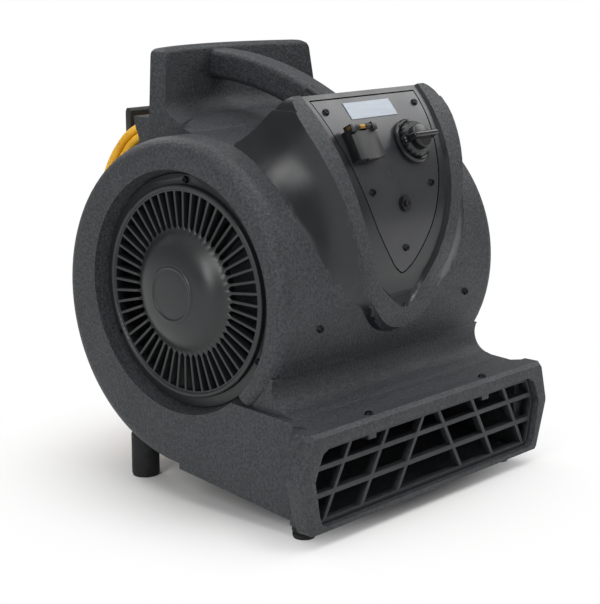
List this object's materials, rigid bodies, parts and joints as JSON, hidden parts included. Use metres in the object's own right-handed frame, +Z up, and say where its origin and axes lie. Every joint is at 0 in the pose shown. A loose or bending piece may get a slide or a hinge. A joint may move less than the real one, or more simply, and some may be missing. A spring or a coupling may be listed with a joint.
{
  "type": "centrifugal air mover",
  "caption": "Snail-shaped floor blower with grilled side inlets, wide front outlet, console with speed knob and socket, carry handle, inner fan wheel and motor, and a wound yellow lead.",
  "frame": {"origin": "on the floor, at the middle of the object's width and depth", "axes": "+Z up, the outlet faces -Y, the fan axis runs along X"},
  "size_m": [0.406, 0.423, 0.457],
  "materials": {
    "housing": "grained charcoal moulding",
    "grille_black": "satin black moulding",
    "screw_black": "black screws",
    "panel": "semi-gloss dark panel",
    "label": "blank plate",
    "control_black": "black control plastic",
    "nickel": "plated steel",
    "brass": "brass",
    "wheel_plastic": "grey moulded wheel",
    "laminations": "laminated steel core",
    "windings": "varnished windings",
    "motor_paint": "black painted steel",
    "motor_cast": "cast end bell",
    "foot_rubber": "black rubber",
    "cord_yellow": "yellow jacket"
  },
  "bodies": {
    "base": {"housing": "housing", "inlet_grille_left": "grille_black", "inlet_grille_right": "grille_black", "grille_screws": "screw_black", "outlet_grille": "grille_black", "outlet_screws": "screw_black", "drum_screws": "screw_black", "control_panel": "panel", "panel_screws": "screw_black", "label_plate": "label", "dial_ring": "control_black", "speed_switch": "control_black", "switch_nut": "nickel", "breaker_body": "control_black", "breaker_nut": "control_black", "socket_body": "control_black", "flap_pin": "brass", "flap_spring": "nickel", "motor_stator": "windings", "motor_shell": "motor_paint", "motor_bell_inner": "motor_cast", "motor_bell_outer": "motor_cast", "motor_bearings": "nickel", "motor_bracket": "motor_paint", "bracket_spacers": "nickel", "motor_bolts": "nickel", "run_capacitor": "control_black", "rear_foot_left": "foot_rubber", "rear_foot_right": "foot_rubber", "front_foot_left": "foot_rubber", "front_foot_right": "foot_rubber", "foot_screws": "nickel", "cord_hook_upper": "grille_black", "cord_hook_lower": "grille_black", "hook_screws": "nickel", "cord_gland": "foot_rubber", "cord_lead": "cord_yellow", "cord_hank": "cord_yellow", "cord_tail": "cord_yellow", "plug_body": "cord_yellow", "plug_pins": "brass"},
    "rotor": {"impeller": "wheel_plastic", "hub_set_screw": "nickel", "motor_shaft": "nickel", "motor_rotor": "laminations"},
    "knob": {"speed_knob": "control_black"},
    "reset": {"reset_button": "control_black"},
    "flap": {"socket_flap": "control_black"}
  },
  "joints": [
    {"name": "impeller_spin", "type": "hinge", "parent": "base", "child": "rotor", "pos_m": [0, 0.008, 0.22], "axis": [1, 0, 0], "continuous": true},
    {"name": "speed_knob_turn", "type": "hinge", "parent": "base", "child": "knob", "pos_m": [0.033, -0.12667, 0.36571], "axis": [0, -0.8793, 0.4762], "range_deg": [0, 135]},
    {"name": "reset_button_slide", "type": "slide", "parent": "base", "child": "reset", "axis": [0, -0.9856, 0.1693], "range_m": [0, 0.0035]},
    {"name": "socket_flap_hinge", "type": "hinge", "parent": "base", "child": "flap", "pos_m": [-0.046, -0.12741, 0.38762], "axis": [-1, 0, 0], "range_deg": [0, 105], "stiffness_Nm_per_rad": 0.01}
  ]
}
